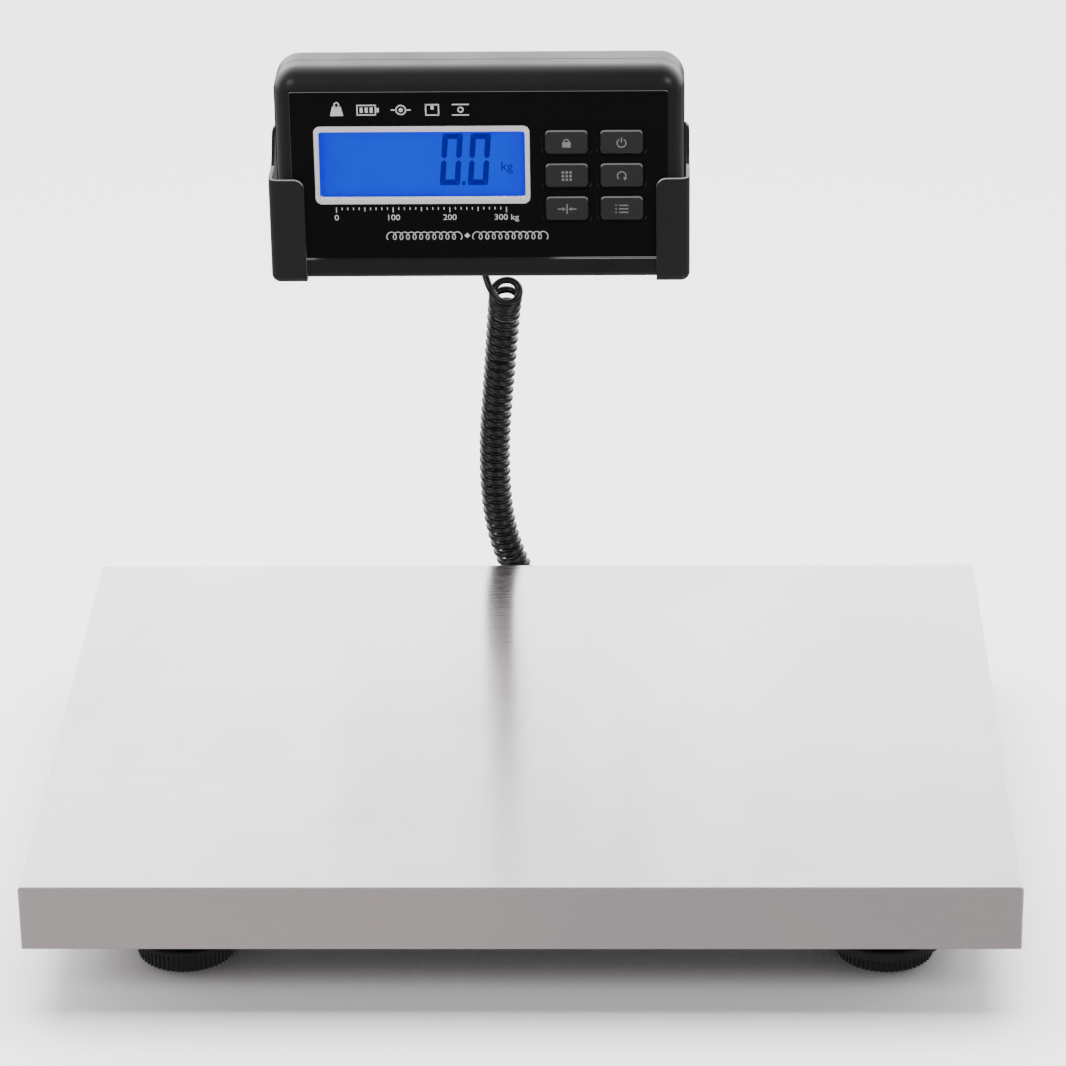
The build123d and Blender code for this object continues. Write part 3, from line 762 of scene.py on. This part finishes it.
def make_pictograms(sheet):
    """Weight, battery, adaptor, parcel and level."""
    line = PICTOGRAM_STROKE
    sheet.patch([(7.6, 5.0), (13.4, 5.0), (12.4, 9.3), (8.6, 9.3)])
    sheet.ring((10.5, 10.1), 1.0, line)

    outline(sheet, 19.5, 27.5, 5.4, 9.8)
    sheet.bar((28.5, 6.6), (28.5, 8.6), 1.0)
    for n in range(3):
        sheet.bar((21.3 + 2.2 * n, 6.4), (21.3 + 2.2 * n, 8.8), 1.3)

    sheet.ring((38.6, 7.6), 2.1, line)
    sheet.ring((38.6, 7.6), 0.55, 0.8)
    sheet.bar((34.2, 7.6), (36.5, 7.6), line)
    sheet.bar((40.7, 7.6), (43.0, 7.6), line)

    outline(sheet, 49.5, 55.1, 5.2, 10.0)
    sheet.bar((52.3, 7.8), (52.3, 10.0), 1.3)

    for z in (5.2, 10.0):
        sheet.bar((61.0, z), (68.4, z), line)
    sheet.ring((64.7, 7.6), 1.1, line)


def make_panel_print():
    """Generic marks only: a row of pictograms, a weighing scale with numbers, and a flourish of loops.

    Places are millimetres from the display frame's upper left corner."""
    sheet = Sheet((frame_low.x, frame_high.z), panel_face_y)
    make_pictograms(sheet)
    ticks_top = (frame_low.z - frame_high.z) / MM - 1.6
    for n in range(31):
        tall = 2.4 if n % 10 == 0 else (1.8 if n % 5 == 0 else 1.2)
        x = FIRST_TICK_X + n * TICK_GAP
        sheet.bar((x, ticks_top - tall), (x, ticks_top), TICK_STROKE)
    middle, level, diamond = 66.5, ticks_top - 13.4, 1.3
    sheet.patch([(middle - diamond, level), (middle, level - diamond),
                 (middle + diamond, level), (middle, level + diamond)])
    looped_line(sheet, middle - 35.0, middle - 3.0, level)
    looped_line(sheet, middle + 3.0, middle + 35.0, level)
    sheet.done("panel_marks", PRINT, "indicator")
    for words, n in (("0", 0), ("100", 10), ("200", 20), ("300 kg", 30)):
        lettering("scale_" + str(n), words, frame_low.x + (FIRST_TICK_X + n * TICK_GAP) * MM,
                  frame_low.z - 7.6 * MM, panel_face_y, 0.0027, PRINT, "display_grey", "CENTER", 1.1)


make_panel_print()


# ---------------------------------------------------------------- stage
FLOOR_HALF = 6.0
WALL_LIGHT = 5.0           # behind the scale, up to WALL_TOP above the horizon
CEILING_LIGHT = 3.0        # from CEILING_START up
WALL_TOP = radians(38)
CEILING_START = radians(58)
FRONT_SHARE = 0.106        # the room in front of the scale, as a share of the wall behind it
RIGHT_SHARE = 0.88         # the wall's right end, as a share of its left
WORLD_TINT = (1, 0.965, 0.985, 1)


def make_stage():
    mesh = bpy.data.meshes.new("floor")
    size = FLOOR_HALF
    corners = [(-size, -size, 0), (size, -size, 0), (size, size, 0), (-size, size, 0)]
    mesh.from_pydata(corners, [], [(0, 1, 2, 3)])
    floor = add_object("floor", mesh)
    s = Shader("floor_white", Roughness=0.6)
    s.surface.inputs["Base Color"].default_value = (0.93, 0.93, 0.93, 1)
    mesh.materials.append(s.material)
    floor.visible_glossy = False


def area_light(name, place, target, size, power, glossy=True):
    """A rectangular soft box. Polished faces don't show it unless it is glossy."""
    data = bpy.data.lights.new(name, "AREA")
    data.shape = "RECTANGLE"
    data.size, data.size_y = size
    data.energy = power
    light = bpy.data.objects.new(name, data)
    light.location = place
    light.visible_glossy = glossy
    light.rotation_euler = (Vector(target) - Vector(place)).to_track_quat("-Z", "Y").to_euler()
    bpy.context.scene.collection.objects.link(light)


def make_light():
    """A studio with a bright wall behind the scale, a dim room in front of it and soft boxes above."""
    world = bpy.data.worlds.new("studio")
    world.use_nodes = True
    tree = world.node_tree
    place = tree.nodes.new("ShaderNodeTexCoord")
    parts = tree.nodes.new("ShaderNodeSeparateXYZ")
    tree.links.new(place.outputs["Generated"], parts.inputs["Vector"])

    def share(axis, start, end, low, high):
        """Goes smoothly from low to high as the direction's part along this axis goes from start to end."""
        node = tree.nodes.new("ShaderNodeMapRange")
        node.interpolation_type = "SMOOTHSTEP"
        tree.links.new(parts.outputs[axis], node.inputs["Value"])
        for name, number in (("From Min", start), ("From Max", end), ("To Min", low), ("To Max", high)):
            node.inputs[name].default_value = number
        return node.outputs["Result"]

    def both(operation, a, b):
        node = tree.nodes.new("ShaderNodeMath")
        node.operation = operation
        tree.links.new(a, node.inputs[0])
        tree.links.new(b, node.inputs[1])
        return node.outputs["Value"]

    height = share("Z", sin(WALL_TOP), sin(CEILING_START), WALL_LIGHT, CEILING_LIGHT)
    behind = share("Y", -0.1, 0.5, FRONT_SHARE, 1.0)
    above = share("Z", -0.2, 0.06, FRONT_SHARE, 1.0)
    right = share("X", -0.14, 0.14, 1.0, RIGHT_SHARE)
    strength = both("MULTIPLY", both("MULTIPLY", height, right), both("MINIMUM", behind, above))
    tree.links.new(strength, tree.nodes["Background"].inputs["Strength"])
    tree.nodes["Background"].inputs["Color"].default_value = WORLD_TINT
    bpy.context.scene.world = world
    area_light("overhead", (0, 0.35, 2.3), (0, 0, 0), (2.6, 1.4), 165, False)
    area_light("key_left", (-1.5, -1.5, 1.7), (0, 0, 0.15), (0.7, 0.7), 16)
    area_light("key_right", (1.5, -1.5, 1.7), (0, 0, 0.15), (0.7, 0.7), 16)


make_stage()
make_light()
